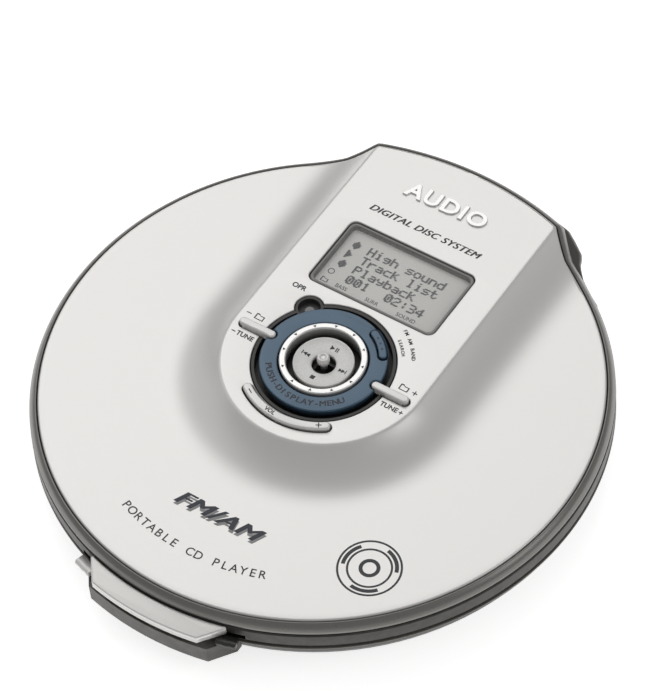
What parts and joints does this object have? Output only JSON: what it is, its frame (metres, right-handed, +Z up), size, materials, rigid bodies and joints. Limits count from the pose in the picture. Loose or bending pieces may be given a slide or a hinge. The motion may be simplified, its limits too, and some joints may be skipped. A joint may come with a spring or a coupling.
{
  "type": "portable cd player",
  "caption": "Round clamshell disc player with a hinged lid carrying a display, a jog dial with a small stick, a volume rocker and tuning bars; disc drive, jacks and cell bay inside.",
  "frame": {"origin": "on the standing plane, on the disc spindle's axis, which is also the middle of the body's outline", "axes": "+Z up along the spindle, -Y to the front latch, +Y to the lid's hinge, +X to the right as the display is read"},
  "size_m": [0.1366, 0.1451, 0.0251],
  "materials": {
    "pearl_lid": "satin pearl silver lacquer with very fine metallic flake",
    "grey_ring": "satin grey lacquer with a bright outer edge",
    "dark_case": "fine-grained dark grey moulded plastic",
    "base_case": "fine-grained grey-brown moulded plastic",
    "shelf_silver": "satin silver lacquer",
    "inner_black": "matt black moulded plastic",
    "bezel_blue": "satin steel-blue lacquer",
    "jog_silver": "satin plated ring",
    "dish_silver": "satin silver lacquer",
    "knob_silver": "satin silver lacquer, ribbed",
    "knob_dark": "dark plastic, ribbed",
    "display": "reflective grey display with dark segments",
    "clear_window": "clear acrylic window",
    "steel": "turned and brushed steel",
    "brass": "turned brass",
    "contact_metal": "nickel-plated spring steel",
    "turntable_black": "matt black with a soft rubber ring",
    "hub_white": "moulded acetal",
    "rubber": "soft black rubber",
    "board_green": "solder-masked fibreglass board",
    "chip_black": "moulded chip packages"
  },
  "bodies": {
    "body": {"upper_case": "dark_case", "bottom_case": "base_case", "front_shelf": "shelf_silver", "hinge_bracket": "dark_case", "hinge_pins": "steel", "hinge_springs": "steel", "spindle_motor": "steel", "mech_chassis": "steel", "dampers": "rubber", "mech_cover": "inner_black", "guide_rods": "steel", "sled_motor": "steel", "main_board": "board_green", "board_chips": "chip_black", "jack_board": "board_green", "headphone_jack": "inner_black", "power_jack": "inner_black", "battery_tray": "inner_black", "battery_contacts": "contact_metal", "battery_springs": "contact_metal", "lid_switch": "inner_black", "feet": "rubber", "case_screws": "steel"},
    "lid": {"lid_panel": "pearl_lid", "lid_ring": "grey_ring", "lid_inner_cover": "dark_case", "hinge_barrel": "dark_case", "latch_catch": "dark_case", "dial_well": "inner_black", "dial_bezel": "bezel_blue", "dial_dish": "dish_silver", "stick_base": "inner_black", "led_lens": "clear_window", "lcd_bezel": "inner_black", "lcd_glass": "clear_window", "lcd_panel": "display", "control_board": "board_green", "key_switches": "chip_black"},
    "jog_push": {"jog_carrier": "inner_black"},
    "jog": {"jog_ring": "jog_silver"},
    "gimbal": {"stick_gimbal": "steel"},
    "stick": {"stick_cap": "dish_silver"},
    "band_key": {"band_button": "dish_silver"},
    "tune_minus": {"tune_minus_bar": "dish_silver"},
    "tune_plus": {"tune_plus_bar": "dish_silver"},
    "volume": {"volume_rocker": "dish_silver"},
    "rotor": {"spindle_shaft": "steel", "turntable": "turntable_black", "hub": "hub_white", "chuck_balls": "steel"},
    "sled": {"sled": "inner_black"},
    "lens": {"lens_holder": "inner_black", "objective_lens": "clear_window"},
    "screw": {"lead_screw": "brass"},
    "cover": {"battery_cover": "base_case"},
    "open_knob": {"open_slider": "knob_silver", "latch_hook": "knob_dark"},
    "hold_knob": {"hold_slider": "knob_dark"}
  },
  "joints": [
    {"name": "lid_hinge", "type": "hinge", "parent": "body", "child": "lid", "pos_m": [0, 0.0641, 0.0142], "axis": [-1, 0, 0], "range_deg": [0, 55]},
    {"name": "jog_press", "type": "slide", "parent": "lid", "child": "jog_push", "axis": [0, 0, -1], "range_m": [0, 0.0004], "stiffness_N_per_m": 1500},
    {"name": "jog_turn", "type": "hinge", "parent": "jog_push", "child": "jog", "pos_m": [0, 0.0016, 0.024], "axis": [0, 0, 1], "continuous": true},
    {"name": "stick_tilt_x", "type": "hinge", "parent": "lid", "child": "gimbal", "pos_m": [0, 0.0016, 0.0199], "axis": [1, 0, 0], "range_deg": [-7, 7], "stiffness_Nm_per_rad": 0.01},
    {"name": "stick_tilt_y", "type": "hinge", "parent": "gimbal", "child": "stick", "pos_m": [0, 0.0016, 0.0199], "axis": [0, 1, 0], "range_deg": [-7, 7], "stiffness_Nm_per_rad": 0.01},
    {"name": "band_press", "type": "slide", "parent": "lid", "child": "band_key", "axis": [0, 0, -1], "range_m": [0, 0.0004], "stiffness_N_per_m": 1500},
    {"name": "tune_minus_press", "type": "slide", "parent": "lid", "child": "tune_minus", "axis": [0, 0, -1], "range_m": [0, 0.0004], "stiffness_N_per_m": 1500},
    {"name": "tune_plus_press", "type": "slide", "parent": "lid", "child": "tune_plus", "axis": [0, 0, -1], "range_m": [0, 0.0004], "stiffness_N_per_m": 1500},
    {"name": "volume_rock", "type": "hinge", "parent": "lid", "child": "volume", "pos_m": [0, -0.01715, 0.0224], "axis": [0, 1, 0], "range_deg": [-2, 2], "stiffness_Nm_per_rad": 0.2},
    {"name": "spindle_turn", "type": "hinge", "parent": "body", "child": "rotor", "pos_m": [0, 0, 0.01], "axis": [0, 0, 1], "continuous": true},
    {"name": "sled_slide", "type": "slide", "parent": "body", "child": "sled", "axis": [1, 0, 0], "range_m": [0, 0.031]},
    {"name": "lens_focus", "type": "slide", "parent": "sled", "child": "lens", "axis": [0, 0, 1], "range_m": [-0.0004, 0.0004], "stiffness_N_per_m": 60},
    {"name": "lead_screw_turn", "type": "hinge", "parent": "body", "child": "screw", "pos_m": [0.04, -0.021, 0.0066], "axis": [1, 0, 0], "continuous": true},
    {"name": "cover_slide", "type": "slide", "parent": "body", "child": "cover", "axis": [-1, 0, 0], "range_m": [0, 0.04]},
    {"name": "open_slide", "type": "slide", "parent": "body", "child": "open_knob", "axis": [-1, 0, 0], "range_m": [0, 0.002], "stiffness_N_per_m": 300},
    {"name": "hold_slide", "type": "slide", "parent": "body", "child": "hold_knob", "axis": [1, 0, 0], "range_m": [0, 0.002]}
  ],
  "couplings": [
    {"joint": "lead_screw_turn", "follows": "sled_slide", "rad_per_m": 2094.4}
  ]
}
